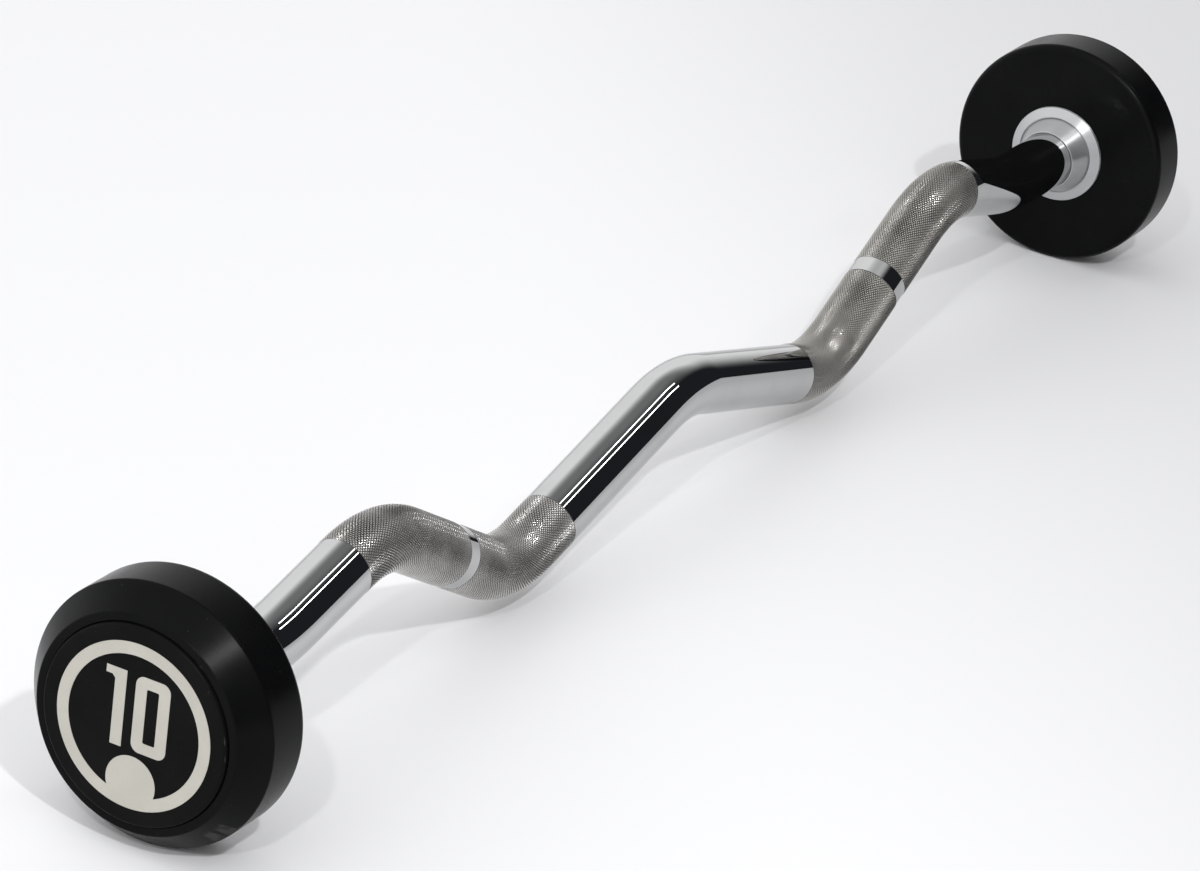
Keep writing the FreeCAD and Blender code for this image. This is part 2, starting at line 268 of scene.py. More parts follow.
class StageSettings(bpy.types.PropertyGroup):
    """Camera, lamps, floor and surroundings"""

    camera_place: FloatVectorProperty(
        name="Camera", description="Place of the camera", default=(-2.323, -1.129, 1.191),
        size=3, subtype="TRANSLATION",
    )
    camera_aim: FloatVectorProperty(
        name="Aim", description="Point that the camera looks at", default=(-0.20317, -0.06513, 0.12591),
        size=3, subtype="TRANSLATION",
    )
    camera_roll: FloatProperty(
        name="Roll", description="Turn of the camera about its line of sight",
        default=math.radians(7.41), subtype="ANGLE",
    )
    lens: FloatProperty(
        name="Lens", description="Focal length on a 36 mm sensor", default=176.26,
        subtype="DISTANCE_CAMERA",
    )
    lamp_distance: length("Lamp distance", "Distance of the lamps from the middle of the bar", 5.0)
    key_size: length("Key size", "Side of a key lamp", 0.15)
    left_power: wattage("Left power", "Power of the left key lamp", 31)
    right_power: wattage("Right power", "Power of the right key lamp", 65)
    strip_length: length("Strip length", "Length of a strip lamp that shows in the chrome", 1.8)
    strip_width: length("Strip width", "Width of a strip lamp", 0.2)
    strip_power: wattage("Strip power", "Power of a strip lamp", 8)
    floor_size: length("Floor size", "Side of the floor", 16.0)
    floor: colour("Floor", "Colour of the floor", (0.885, 0.885, 0.90))
    bright_wall: colour("Bright side", "Surroundings on the pale side", (1.0, 1.0, 1.0))
    brightness: FloatProperty(name="Brightness", description="Strength of the surroundings", default=1.2)
    dark_wall: colour("Dark side", "Surroundings on the dark side", (0.016, 0.017, 0.02))


class BarbellSettings(bpy.types.PropertyGroup):
    """All sizes and colours of the barbell"""

    bar: PointerProperty(type=BarSizes)
    head: PointerProperty(type=HeadSizes)
    collar: PointerProperty(type=CollarSizes)
    ink: PointerProperty(type=PrintSizes)
    colours: PointerProperty(type=FinishColours)
    stage: PointerProperty(type=StageSettings)


def settings():
    """The barbell's sizes, colours and stage in the scene."""
    return bpy.context.scene.curl_barbell


# Outlines and meshes


def rounded(outline):
    """Points of a closed outline given as corners of (along, across, rounding)."""
    points = []
    count = len(outline)
    for place, (along, across, rounding) in enumerate(outline):
        corner = Vector((along, across))
        if rounding == 0:
            points.append(corner)
            continue
        before = Vector(outline[place - 1][:2])
        after = Vector(outline[(place + 1) % count][:2])
        into = (corner - before).normalized()
        out = (after - corner).normalized()
        turn = into.angle_signed(out)
        centre_gap = rounding / math.cos(turn / 2)
        centre = corner + (out - into).normalized() * centre_gap
        first = corner - into * rounding * math.tan(abs(turn) / 2) - centre
        steps = max(2, math.ceil(abs(turn) / ARC_STEP))
        for step in range(steps + 1):
            points.append(centre + Matrix.Rotation(-turn * step / steps, 2) @ first)
    return points


def add_piece(name, mesh, material, nodes, smooth=True):
    """Puts a finished mesh in the scene as a piece that stands for CAD nodes."""
    piece = bpy.data.objects.new(name, mesh)
    bpy.context.scene.collection.objects.link(piece)
    mesh.materials.append(material)
    mesh.polygons.foreach_set("use_smooth", [smooth] * len(mesh.polygons))
    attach(piece, "root")
    if nodes:
        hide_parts(*nodes)


def face_outwards(mesh):
    """Turns all faces of a closed mesh outwards."""
    work = bmesh.new()
    work.from_mesh(mesh)
    bmesh.ops.recalc_face_normals(work, faces=work.faces)
    work.to_mesh(mesh)
    work.free()


def lay_map(mesh, sides, heights):
    """Lays the map of a mesh of rings flat: once round across, the rings' heights up."""
    layer = mesh.uv_layers.new(name=UV_MAP)
    places = mesh.attributes["ring_place"].data
    turns = mesh.attributes["ring_turn"].data
    for face in mesh.polygons:
        columns = [turns[mesh.loops[loop].vertex_index].value for loop in face.loop_indices]
        crosses = max(columns) - min(columns) > sides / 2
        rows = [places[mesh.loops[loop].vertex_index].value for loop in face.loop_indices]
        wraps = max(rows) - min(rows) > 1
        for loop, column, row in zip(face.loop_indices, columns, rows):
            if crosses and column < sides / 2:
                column += sides
            if wraps and row == 0:
                row = len(heights) - 1
            layer.data[loop].uv = (column / sides, heights[row])


def ring_mesh(name, rings, closed, split=None):
    """A mesh from rings of points. A ring of one point is a pole. The split chooses a quad's diagonal."""
    sides = max(len(ring) for ring in rings)
    points = []
    starts = []
    places = []
    turns = []
    for place, ring in enumerate(rings):
        starts.append(len(points))
        points.extend(ring)
        places.extend([place] * len(ring))
        turns.extend(range(len(ring)))
    faces = []
    pairs = list(zip(range(len(rings)), range(1, len(rings))))
    if closed:
        pairs.append((len(rings) - 1, 0))
    for low, high in pairs:
        for side in range(sides):
            after = (side + 1) % sides
            corners = []
            for place, turn in ((low, side), (low, after), (high, after), (high, side)):
                index = starts[place] + (turn if len(rings[place]) > 1 else 0)
                if index not in corners:
                    corners.append(index)
            if len(corners) < 3:
                continue
            if split and len(corners) == 4:
                first = 0 if split(side, low) else 1
                a, b, c, d = corners[first:] + corners[:first]
                faces.append((a, b, c))
                faces.append((a, c, d))
            else:
                faces.append(corners)
    mesh = bpy.data.meshes.new(name)
    mesh.from_pydata(points, [], faces)
    mesh.attributes.new("ring_place", "INT", "POINT").data.foreach_set("value", places)
    mesh.attributes.new("ring_turn", "INT", "POINT").data.foreach_set("value", turns)
    face_outwards(mesh)
    heights = [0.0]
    for low, high in pairs:
        step = (Vector(rings[high][0]) - Vector(rings[low][0])).length
        heights.append(heights[-1] + max(step, SMALLEST_STEP))
    lay_map(mesh, sides, [height / heights[-1] for height in heights])
    for layer in ("ring_place", "ring_turn"):
        mesh.attributes.remove(mesh.attributes[layer])
    return mesh


def end_point(side, along, across, turn):
    """A point of one head: its distance in from the cap's face, and its radius and angle."""
    toward = SIDES[side]
    return Vector((
        toward * (REACH - along),
        toward * across * math.sin(turn),
        AXIS_HEIGHT + across * math.cos(turn),
    ))


def supported(points):
    """Adds points near both ends of long straight stretches, so that only the edges shade as bent."""
    full = []
    for point, after in zip(points, points[1:] + points[:1]):
        full.append(point)
        stretch = after - point
        if stretch.length > LONG_STRETCH and max(point.y, after.y) > 0:
            margin = stretch.normalized() * EDGE_MARGIN
            full += [point + margin, after - margin]
    return full


def turned_mesh(name, side, outline, sides):
    """A mesh turned about the bar's axis at one end, from corners of (along, radius, rounding)."""
    rings = []
    on_axis = False
    for along, across in supported(rounded(outline)):
        if across > 0:
            turns = [math.tau * step / sides for step in range(sides)]
            rings.append([end_point(side, along, across, turn) for turn in turns])
        else:
            on_axis = True
            rings.append([end_point(side, along, 0, 0)])
    mesh = ring_mesh(name, rings, closed=not on_axis)
    mesh.set_sharp_from_angle(angle=SHARP_ANGLE)
    return mesh


# Centre line of the bar


def bar_runs(bar):
    """Straight runs and arcs of the centre line: start, heading, length and curvature."""
    rod_reach = REACH - COLLAR_END
    valley = bar.crown_to_valley
    shoulder = valley + bar.valley_to_shoulder
    outer = shoulder + bar.shoulder_to_outer
    half = [
        (valley, -bar.valley_drop, bar.valley_bend),
        (shoulder, bar.shoulder_rise, bar.shoulder_bend),
        (outer, 0, bar.outer_bend),
        (rod_reach, 0, 0),
    ]
    corners = [(-x, z, bend) for x, z, bend in reversed(half)]
    corners += [(0, bar.crown_rise, bar.crown_bend)] + half
    runs = []
    place = Vector(corners[0][:2])
    for before, corner, after in zip(corners, corners[1:], corners[2:] + [None]):
        middle = Vector(corner[:2])
        into = middle - Vector(before[:2])
        heading = math.atan2(into.y, into.x)
        if after is None:
            runs.append((place, heading, (middle - place).length, 0))
            break
        out = Vector(after[:2]) - middle
        turn = math.atan2(out.y, out.x) - heading
        bend = corner[2]
        reach = bend * math.tan(abs(turn) / 2)
        start = middle - into.normalized() * reach
        runs.append((place, heading, (start - place).length, 0))
        runs.append((start, heading, bend * abs(turn), math.copysign(1 / bend, turn)))
        place = middle + out.normalized() * reach
    return runs


def run_length(runs):
    """Length of the whole centre line."""
    return sum(run[2] for run in runs)


def centre_at(runs, travel):
    """Point and heading of the centre line at a distance along it. Past its ends it runs on straight."""
    for number, (start, heading, run, curvature) in enumerate(runs):
        if travel <= run or number == len(runs) - 1:
            break
        travel -= run
    if curvature == 0:
        return start + travel * Vector((math.cos(heading), math.sin(heading))), heading
    end = heading + curvature * travel
    chord = Vector((math.sin(end) - math.sin(heading), math.cos(heading) - math.cos(end)))
    return start + chord / curvature, end


def travel_to(runs, station):
    """Distance along the centre line to the place at a distance along X."""
    low, high = 0.0, run_length(runs)
    for _ in range(SEARCH_STEPS):
        middle = (low + high) / 2
        if centre_at(runs, middle)[0].x < station:
            low = middle
        else:
            high = middle
    return low


def bar_ring(runs, travel, radii):
    """A ring of points round the centre line, with a radius for each."""
    centre, heading = centre_at(runs, travel)
    ring = []
    for step, radius in enumerate(radii):
        turn = math.tau * step / len(radii)
        rise = radius * math.cos(turn)
        ring.append(Vector((
            centre.x - rise * math.sin(heading),
            -radius * math.sin(turn),
            AXIS_HEIGHT + centre.y + rise * math.cos(heading),
        )))
    return ring


def grip_spans(bar, runs):
    """Where the knurled stretches start and end along the centre line, by name, from left to right."""
    half_band = bar.band_width / 2
    stations = {
        "left_outer_grip": (-bar.left_grip_outer, -bar.left_band - half_band),
        "left_inner_grip": (-bar.left_band + half_band, -bar.left_grip_inner),
        "right_inner_grip": (bar.right_grip_inner, bar.right_band - half_band),
        "right_outer_grip": (bar.right_band + half_band, bar.right_grip_outer),
    }
    return {
        name: (travel_to(runs, low), travel_to(runs, high))
        for name, (low, high) in stations.items()
    }


def bend_stops(runs, low, high):
    """Places between two others where the bar needs a ring to follow its bends."""
    stops = []
    travel = 0.0
    for _, _, run, curvature in runs:
        steps = max(1, math.ceil(run * abs(curvature) / BEND_STEP))
        for step in range(steps):
            stop = travel + run * step / steps
            if low < stop < high:
                stops.append(stop)
        travel += run
    return stops


def turned_end(bar):
    """Outline of a turned end of the bar, from the bottom of its hole to its seat: place and radius."""
    bottom = BOLT_TIP + bar.hole_runout
    seat = bar.seat_place
    radius = bar.diameter / 2
    return [
        (bottom + bar.hole_radius * math.tan(DRILL_SLOPE), 0),
        (bottom, bar.hole_radius),
        (SPIGOT_END, bar.hole_radius),
        (SPIGOT_END, bar.spigot_radius - bar.spigot_chamfer),
        (SPIGOT_END + bar.spigot_chamfer, bar.spigot_radius),
        (seat, bar.spigot_radius),
        (seat, radius - bar.seat_chamfer),
        (seat + bar.seat_chamfer, radius),
    ]


def bar_mesh(bar):
    """The whole bar as one turned and bent mesh, necked where the knurl is."""
    runs = bar_runs(bar)
    total = run_length(runs)
    radius = bar.diameter / 2
    neck = radius - bar.neck_depth
    stops = [(along - COLLAR_END, across) for along, across in turned_end(bar)]
    travel = 0.0
    stops.append((travel, radius))
    for low, high in grip_spans(bar, runs).values():
        stops += [(stop, radius) for stop in bend_stops(runs, travel, low)]
        stops += [(low, radius), (low, neck)]
        stops += [(stop, neck) for stop in bend_stops(runs, low, high)]
        stops += [(high, neck), (high, radius)]
        travel = high
    stops += [(stop, radius) for stop in bend_stops(runs, travel, total)]
    stops.append((total, radius))
    stops += [(total + COLLAR_END - along, across) for along, across in reversed(turned_end(bar))]
    rings = []
    for place, across in stops:
        sides = BAR_SIDES if across > 0 else 1
        rings.append(bar_ring(runs, place, [across] * sides))
    mesh = ring_mesh("bar_smooth", rings, closed=False)
    mesh.set_sharp_from_angle(angle=SHARP_ANGLE)
    return mesh


def knurl_lift(column, row):
    """Height of a point of the knurl's grid, from 0 in a groove to 1 in the middle of a diamond."""
    nearest = KNURL_STEPS
    for place in (column + row, column - row):
        step = place % KNURL_STEPS
        nearest = min(nearest, step, KNURL_STEPS - step)
    return KNURL_LIFTS[nearest]


def knurl_mesh(name, bar, low, high):
    """A sleeve of diamonds between two places along the bar, which stores how deep each point lies."""
    runs = bar_runs(bar)
    radius = bar.diameter / 2
    groove = radius + bar.knurl_rise - bar.knurl_depth
    inside = radius - bar.neck_depth + NECK_CLEARANCE
    columns = KNURL_STEPS * round(math.pi * bar.diameter / bar.knurl_width)
    rows = KNURL_STEPS * round((high - low) / bar.knurl_length)
    rings = []
    depths = []
    for row in range(rows + 1):
        travel = low + (high - low) * row / rows
        if row in (0, rows):
            lifts = [0.0] * columns
        else:
            lifts = [knurl_lift(column, row) for column in range(columns)]
        rings.append(bar_ring(runs, travel, [groove + bar.knurl_depth * lift for lift in lifts]))
        depths += [1 - lift for lift in lifts]
    backs = [high] + bend_stops(runs, low, high)[::-1] + [low]
    for travel in backs:
        rings.append(bar_ring(runs, travel, [inside] * columns))
        depths += [1.0] * columns
    mesh = ring_mesh(name, rings, closed=True, split=lambda side, row: (side + row) % 2 == 0)
    mesh.attributes.new("groove", "FLOAT", "POINT").data.foreach_set("value", depths)
    return mesh


# Flat shapes of the print


def circle(centre, radius, start=0.0, end=math.tau, closed=True):
    """Points of a circle or an arc, as places right of and above the cap's middle."""
    steps = math.ceil(abs(end - start) / PRINT_STEP)
    last = 0 if closed else 1
    points = []
    for step in range(steps + last):
        turn = start + (end - start) * step / steps
        points.append(centre + radius * Vector((math.cos(turn), math.sin(turn))))
    return points


def corner_angle(first, second, opposite):
    """Angle of a triangle between two of its sides."""
    return math.acos((first**2 + second**2 - opposite**2) / (2 * first * second))


def ring_and_disc(ink):
    """Loops of the ring with the plain disc that overlaps it at the bottom."""
    middle = Vector((0, 0))
    disc = Vector((ink.disc_shift, -ink.disc_drop))
    gap = disc.length
    toward = math.atan2(disc.y, disc.x)
    from_ring = corner_angle(ink.ring_inner, gap, ink.disc_radius)
    from_disc = corner_angle(ink.disc_radius, gap, ink.ring_inner)
    inside = circle(middle, ink.ring_inner, toward + from_ring, toward + math.tau - from_ring, False)
    back = toward + math.pi
    bulge = circle(disc, ink.disc_radius, back - from_disc, back + from_disc, False)
    crossing = inside[-1]
    if (bulge[0] - crossing).length > (bulge[-1] - crossing).length:
        bulge.reverse()
    return [circle(middle, ink.ring_outer), inside + bulge[1:-1]]


def numeral_one(ink):
    """Loop of the 1, with its flag to the left."""
    left = -ink.one_left
    right = left + ink.stroke
    top = ink.number_top
    bottom = -ink.number_bottom
    flag = left - ink.flag_reach
    flag_low = top - ink.flag_height
    corners = (
        (flag, top),
        (right, top),
        (right, bottom),
        (left, bottom),
        (left, flag_low - ink.flag_notch),
        (left - ink.flag_notch, flag_low),
        (flag, flag_low),
    )
    return [[Vector(corner) for corner in corners]]


def numeral_zero(ink):
    """Loops of the 0: a tall box with rounded corners and a narrow counter."""
    left = -ink.zero_left
    right = left + ink.zero_width
    bottom = -ink.number_bottom
    loops = []
    counter = (ink.stroke, ink.level_stroke, ink.counter_corner)
    for inset, level_inset, corner in ((0, 0, ink.zero_corner), counter):
        low = bottom + level_inset
        high = ink.number_top - level_inset
        loops.append(rounded([
            (left + inset, low, corner),
            (right - inset, low, corner),
            (right - inset, high, corner),
            (left + inset, high, corner),
        ]))
    return loops


def ink_mesh(name, side, loops, thickness):
    """A thin flat patch on the cap's face, bounded by loops."""
    toward = SIDES[side]
    work = bmesh.new()
    edges = []
    for loop in loops:
        corners = []
        for right, high in loop:
            corners.append(work.verts.new((toward * REACH, toward * right, AXIS_HEIGHT + high)))
        for first, second in zip(corners, corners[1:] + corners[:1]):
            edges.append(work.edges.new((first, second)))
    filled = bmesh.ops.triangle_fill(work, use_beauty=True, use_dissolve=False, edges=edges)
    patch = [item for item in filled["geom"] if isinstance(item, bmesh.types.BMFace)]
    raised = bmesh.ops.extrude_face_region(work, geom=patch)
    lifted = [item for item in raised["geom"] if isinstance(item, bmesh.types.BMVert)]
    bmesh.ops.translate(work, verts=lifted, vec=(toward * thickness, 0, 0))
    bmesh.ops.recalc_face_normals(work, faces=work.faces)
    mesh = bpy.data.meshes.new(name)
    work.to_mesh(mesh)
    work.free()
    mesh.set_sharp_from_angle(angle=SHARP_ANGLE)
    return mesh


# Shared effects


def new_group(name, inputs, outputs):
    """An empty shader node group whose sockets all carry plain numbers."""
    group = bpy.data.node_groups.new(name, "ShaderNodeTree")
    for socket, default in inputs.items():
        made = group.interface.new_socket(socket, in_out="INPUT", socket_type="NodeSocketFloat")
        made.default_value = default
    for socket in outputs:
        group.interface.new_socket(socket, in_out="OUTPUT", socket_type="NodeSocketFloat")
    return group, group.nodes.new("NodeGroupInput"), group.nodes.new("NodeGroupOutput")


def feed(tree, socket, value):
    """Links an output to a socket, or sets the socket to a plain value."""
    if isinstance(value, bpy.types.NodeSocket):
        tree.links.new(value, socket)
    else:
        socket.default_value = value


def add(tree, kind, **values):
    """Adds a node. Each value sets its property of that name or feeds its input of that name."""
    node = tree.nodes.new(f"ShaderNode{kind}")
    for name, value in values.items():
        if hasattr(node, name):
            setattr(node, name, value)
        else:
            feed(tree, node.inputs[name.replace("_", " ")], value)
    return node


def ramp(tree, source, span=(0.0, 1.0), to=(0.0, 1.0)):
    """Maps a value smoothly from one span to another, with its ends held."""
    node = add(
        tree, "MapRange", interpolation_type="SMOOTHSTEP", Value=source,
        From_Min=span[0], From_Max=span[1], To_Min=to[0], To_Max=to[1],
    )
    return node.outputs["Result"]


def combine(tree, operation, first, second):
    """Works out one value from two, each a number or an output."""
    node = add(tree, "Math", operation=operation)
    for socket, value in zip(node.inputs, (first, second)):
        feed(tree, socket, value)
    return node.outputs[0]


def distance_along(tree, place, heading):
    """How far a place lies along a heading."""
    node = add(tree, "VectorMath", operation="DOT_PRODUCT", Vector=place)
    node.inputs[1].default_value = heading
    return node.outputs["Value"]


def blend(tree, share, first, second):
    """Mixes two colours, each plain or an output, by a share that changes over the surface."""
    node = add(tree, "Mix", data_type="RGBA")
    feed(tree, node.inputs[MIX_SHARE], share)
    for place, tint in ((MIX_FIRST, first), (MIX_SECOND, second)):
        if not isinstance(tint, bpy.types.NodeSocket):
            tint = (*tint, 1)
        feed(tree, node.inputs[place], tint)
    return node.outputs[MIX_RESULT]


def grain_group():
    """Fine grain and soft blotches of a moulded or cast surface."""
    sizes = {"Grain size": 900.0, "Blotch size": 30.0}
    group, start, end = new_group("Grain", sizes, ("Height", "Blotches"))
    place = add(group, "TexCoord").outputs["Object"]
    fine = add(group, "TexNoise", Vector=place, Scale=start.outputs["Grain size"], Detail=3.0)
    broad = add(group, "TexNoise", Vector=place, Scale=start.outputs["Blotch size"], Detail=5.0)
    feed(group, end.inputs["Height"], fine.outputs[0])
    feed(group, end.inputs["Blotches"], ramp(group, broad.outputs[0], span=(0.3, 0.7)))
    return group


def handling_group():
    """Marks of use: fine scratches along the bar, smudges and specks."""
    sizes = {"Scratch size": 260.0, "Speck size": 320.0}
    group, start, end = new_group("Handling", sizes, ("Scratches", "Smudges", "Specks"))
    place = add(group, "TexCoord").outputs["Object"]
    drawn = add(group, "VectorMath", operation="MULTIPLY", Vector=place)
    drawn.inputs[1].default_value = SCRATCH_STRETCH
    scratch_size = start.outputs["Scratch size"]
    lines = add(group, "TexNoise", Vector=drawn.outputs[0], Scale=scratch_size, Detail=4.0)
    feed(group, end.inputs["Scratches"], ramp(group, lines.outputs[0], span=(0.62, 0.72)))
    smudges = add(group, "TexNoise", Vector=place, Scale=22.0, Detail=6.0, Roughness=0.62)
    feed(group, end.inputs["Smudges"], ramp(group, smudges.outputs[0], span=(0.42, 0.68)))
    cells = add(group, "TexVoronoi", Vector=place, Scale=start.outputs["Speck size"])
    dots = ramp(group, cells.outputs["Distance"], span=(0.10, 0.16), to=(1.0, 0.0))
    chance = add(group, "SeparateXYZ", Vector=cells.outputs["Color"]).outputs[0]
    few = ramp(group, chance, span=(0.93, 0.95))
    feed(group, end.inputs["Specks"], combine(group, "MULTIPLY", dots, few))
    return group


def wear_group():
    """Wear along edges, broken up by noise."""
    sizes = {"Reach": 0.52, "Break size": 140.0}
    group, start, end = new_group("Edge wear", sizes, ("Wear",))
    sharp = add(group, "NewGeometry").outputs["Pointiness"]
    past = combine(group, "SUBTRACT", sharp, start.outputs["Reach"])
    edge = ramp(group, past, span=(0.0, 0.03))
    place = add(group, "TexCoord").outputs["Object"]
    breaks = add(group, "TexNoise", Vector=place, Scale=start.outputs["Break size"], Detail=4.0)
    patches = ramp(group, breaks.outputs[0], span=(0.38, 0.62))
    feed(group, end.inputs["Wear"], combine(group, "MULTIPLY", edge, patches))
    return group


def turning_group():
    """Fine rings that a lathe leaves on a face turned about the bar's axis."""
    group, start, end = new_group("Turning", {"Ring count": 2600.0}, ("Height",))
    place = add(group, "TexCoord").outputs["Object"]
    across = add(group, "VectorMath", operation="MULTIPLY_ADD", Vector=place)
    across.inputs[1].default_value = (0.0, 1.0, 1.0)
    across.inputs[2].default_value = (0.0, 0.0, -AXIS_HEIGHT)
    away = add(group, "VectorMath", operation="LENGTH", Vector=across.outputs[0]).outputs["Value"]
    along = distance_along(group, place, (RING_SLANT, 0.0, 0.0))
    line = add(group, "CombineXYZ", X=combine(group, "ADD", away, along)).outputs[0]
    rings = add(group, "TexNoise", Vector=line, Scale=start.outputs["Ring count"], Detail=2.0)
    feed(group, end.inputs["Height"], rings.outputs[0])
    return group


def effect(name):
    """The shared effect of that name, built the first time it is asked for."""
    builders = {
        "Grain": grain_group,
        "Handling": handling_group,
        "Edge wear": wear_group,
        "Turning": turning_group,
    }
    return bpy.data.node_groups.get(name) or builders[name]()


def place_effect(tree, name, **values):
    """Places a shared effect in a material, with values of its own."""
    return add(tree, "Group", node_tree=effect(name), **values)


# Finishes


def new_finish(name, **values):
    """A material with its principled shader, whose constants are set on its own sockets."""
    material = bpy.data.materials.new(name)
    material.use_nodes = True
    shader = material.node_tree.nodes["Principled BSDF"]
    for socket, value in values.items():
        shader.inputs[socket.replace("_", " ")].default_value = value
    return material, material.node_tree, shader


def shaded(tint, shade):
    """A tint made darker or lighter."""
    return [min(1.0, part * shade) for part in tint]


def bumped(tree, shader, height, strength, distance):
    """Lets a height roughen the surface."""
    bump = add(tree, "Bump", Height=height, Strength=strength, Distance=distance)
    feed(tree, shader.inputs["Normal"], bump.outputs[0])


def chrome_finish(name):
    """Bright chrome plate with faint smudges and hairlines."""
    colours = settings().colours
    edge = (*colours.chrome_edge, 1)
    material, tree, shader = new_finish(name, Metallic=1.0, Specular_Tint=edge)
    marks = place_effect(tree, "Handling")
    dull = shaded(colours.chrome, SMUDGE_SHADE)
    feed(tree, shader.inputs["Base Color"], blend(tree, marks.outputs["Smudges"], colours.chrome, dull))
    rough = ramp(tree, marks.outputs["Smudges"], to=(0.008, 0.016))
    hair = ramp(tree, marks.outputs["Scratches"], to=(0.0, 0.022))
    feed(tree, shader.inputs["Roughness"], combine(tree, "ADD", rough, hair))
    return material


def knurl_finish(name, peak, groove):
    """Chromed knurl: bright points, and colour that darkens and dulls towards the bottom of the grooves,
    in patches.
    """
    material, tree, shader = new_finish(name, Metallic=1.0)
    depth = add(tree, "Attribute", attribute_name="groove").outputs["Fac"]
    grain = place_effect(tree, "Grain", Grain_size=1500.0, Blotch_size=38.0)
    groove_patchiness = ramp(tree, grain.outputs["Blotches"], to=(0.75, 1.0))
    # Darker towards the bottom of the grooves, broken up by blotches
    groove_darkening = combine(tree, "MULTIPLY", ramp(tree, depth, span=(0.0, 0.7)), groove_patchiness)
    feed(tree, shader.inputs["Base Color"], blend(tree, groove_darkening, peak, groove))
    feed(tree, shader.inputs["Roughness"], ramp(tree, depth, to=(0.15, 0.50)))
    bumped(tree, shader, grain.outputs["Height"], strength=0.15, distance=0.0001)
    return material


def aluminium_finish(name):
    """Aluminium as it comes off the lathe."""
    colours = settings().colours
    material, tree, shader = new_finish(name, Metallic=1.0, Anisotropic=1.0, Anisotropic_Rotation=0.25)
    rings = place_effect(tree, "Turning")
    marks = place_effect(tree, "Handling")
    dark = shaded(colours.aluminium, LATHE_SHADE)
    feed(tree, shader.inputs["Base Color"], blend(tree, rings.outputs["Height"], dark, colours.aluminium))
    feed(tree, shader.inputs["Roughness"], ramp(tree, marks.outputs["Smudges"], to=(0.36, 0.40)))
    tangent = add(tree, "Tangent", direction_type="RADIAL", axis="X")
    feed(tree, shader.inputs["Tangent"], tangent.outputs[0])
    bumped(tree, shader, rings.outputs["Height"], strength=0.05, distance=0.0002)
    return material


def rubber_finish(name, tint, wear_reach, roughness, gloss):
    """Satin black rubber with fine grain, handling dust and rubbed edges."""
    dust = settings().colours.dust
    material, tree, shader = new_finish(name, Specular_IOR_Level=gloss)
    grain = place_effect(tree, "Grain", Grain_size=1400.0, Blotch_size=26.0)
    marks = place_effect(tree, "Handling", Speck_size=420.0)
    wear = place_effect(tree, "Edge wear", Reach=wear_reach)
    base = blend(tree, grain.outputs["Blotches"], tint, shaded(tint, RUBBER_SHADE))
    scuff = combine(tree, "MULTIPLY", wear.outputs["Wear"], SCUFF_SHARE)
    specks = combine(tree, "MULTIPLY", marks.outputs["Specks"], RUBBER_SPECK_SHARE)
    scuffed = blend(tree, scuff, base, dust)
    feed(tree, shader.inputs["Base Color"], blend(tree, specks, scuffed, dust))
    feed(tree, shader.inputs["Roughness"], ramp(tree, grain.outputs["Blotches"], to=roughness))
    bumped(tree, shader, grain.outputs["Height"], strength=0.06, distance=0.00025)
    return material


def ink_finish(name):
    """Light ink, a little uneven, on rubber."""
    colours = settings().colours
    material, tree, shader = new_finish(name, Specular_IOR_Level=0.25)
    grain = place_effect(tree, "Grain", Grain_size=1600.0, Blotch_size=60.0)
    marks = place_effect(tree, "Handling", Speck_size=700.0)
    even = blend(tree, grain.outputs["Blotches"], shaded(colours.ink, INK_SHADE), colours.ink)
    specks = combine(tree, "MULTIPLY", marks.outputs["Specks"], INK_SPECK_SHARE)
    feed(tree, shader.inputs["Base Color"], blend(tree, specks, even, colours.dust))
    feed(tree, shader.inputs["Roughness"], ramp(tree, grain.outputs["Blotches"], to=(0.42, 0.52)))
    bumped(tree, shader, grain.outputs["Height"], strength=0.15, distance=0.0001)
    return material


def steel_finish(name, tint, metallic, roughness, grain_size):
    """Steel of a hidden piece: cast, drawn, plated or tempered."""
    material, tree, shader = new_finish(name, Metallic=metallic)
    grain = place_effect(tree, "Grain", Grain_size=grain_size, Blotch_size=55.0)
    wear = place_effect(tree, "Edge wear")
    base = blend(tree, grain.outputs["Blotches"], shaded(tint, STEEL_SHADE), tint)
    worn = blend(tree, wear.outputs["Wear"], base, shaded(tint, WORN_STEEL_SHADE))
    feed(tree, shader.inputs["Base Color"], worn)
    feed(tree, shader.inputs["Roughness"], ramp(tree, grain.outputs["Blotches"], to=roughness))
    bumped(tree, shader, grain.outputs["Height"], strength=0.3, distance=0.0003)
    return material


def finish(name):
    """The finish of that name, made the first time it is asked for."""
    if name in bpy.data.materials:
        return bpy.data.materials[name]
    colours = settings().colours
    makers = {
        "polished_chrome": (chrome_finish, {}),
        "bright_knurl": (knurl_finish, dict(peak=colours.bright_peak, groove=colours.bright_groove)),
        # Darker right knurl: soil, and painted shade of the light that falls off towards the right end
        "soiled_knurl": (knurl_finish, dict(peak=colours.shaded_soiled_peak, groove=colours.shaded_soiled_groove)),
        "lathe_aluminium": (aluminium_finish, {}),
        "moulded_rubber": (
            rubber_finish,
            dict(tint=colours.rubber, wear_reach=0.53, roughness=(0.22, 0.28), gloss=0.055),
        ),
        "smooth_rubber": (
            rubber_finish,
            dict(tint=colours.cap, wear_reach=0.56, roughness=(0.34, 0.42), gloss=0.04),
        ),
        "cap_ink": (ink_finish, {}),
        "cast_core": (
            steel_finish,
            dict(tint=colours.core, metallic=0.85, roughness=(0.55, 0.75), grain_size=500.0),
        ),
        "drawn_key": (
            steel_finish,
            dict(tint=colours.key, metallic=1.0, roughness=(0.28, 0.40), grain_size=1600.0),
        ),
        "zinc_plate": (
            steel_finish,
            dict(tint=colours.zinc, metallic=1.0, roughness=(0.24, 0.36), grain_size=1900.0),
        ),
        "tempered_steel": (
            steel_finish,
            dict(tint=colours.spring, metallic=0.9, roughness=(0.35, 0.50), grain_size=1500.0),
        ),
    }
    make, values = makers[name]
    return make(name, **values)


# Operators, one for each group of like pieces


